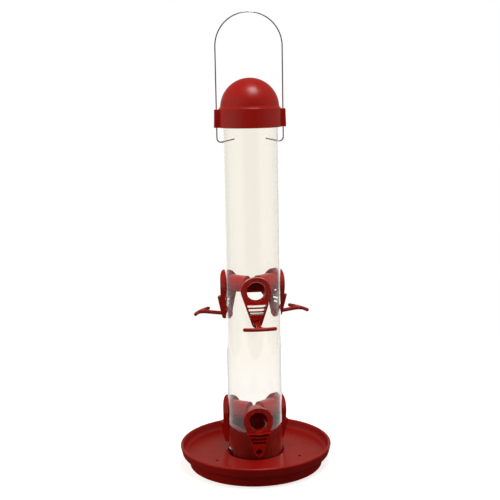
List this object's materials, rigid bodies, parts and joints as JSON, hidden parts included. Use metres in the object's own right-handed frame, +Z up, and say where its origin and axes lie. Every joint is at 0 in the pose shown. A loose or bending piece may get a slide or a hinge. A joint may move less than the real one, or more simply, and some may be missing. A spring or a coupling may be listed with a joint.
{
  "type": "hanging tube bird feeder",
  "caption": "Tube bird feeder: clear seed tube, domed cap that slides on a wire bail, hooded ports, T-bar perches and a twist-off base with a round seed tray.",
  "frame": {"origin": "centre of the tray's foot, on the surface that the feeder stands on", "axes": "+Z up along the tube's axis; the front port faces -Y; the bail lies in the XZ plane"},
  "size_m": [0.1766, 0.1766, 0.5192],
  "materials": {
    "red_plastic": "satin gloss moulded plastic, deep red",
    "clear_plastic": "clear polished tube",
    "bail_wire": "bright drawn wire",
    "screw_steel": "zinc-plated"
  },
  "bodies": {
    "feeder": {"tube": "clear_plastic", "bail": "bail_wire", "port_upper_1": "red_plastic", "port_upper_2": "red_plastic", "port_upper_3": "red_plastic", "port_lower_1": "red_plastic", "port_lower_2": "red_plastic", "port_lower_3": "red_plastic", "perch_1": "red_plastic", "perch_2": "red_plastic", "perch_3": "red_plastic"},
    "cap": {"cap": "red_plastic"},
    "base": {"base_plug": "red_plastic", "tray": "red_plastic", "tray_screw_1": "screw_steel", "tray_screw_2": "screw_steel", "tray_screw_3": "screw_steel"}
  },
  "joints": [
    {"name": "cap_lift", "type": "slide", "parent": "feeder", "child": "cap", "axis": [0, 0, 1], "range_m": [0, 0.065]},
    {"name": "base_twist", "type": "hinge", "parent": "feeder", "child": "base", "pos_m": [0, 0, 0.0175], "axis": [0, 0, 1], "range_deg": [0, 20]}
  ]
}
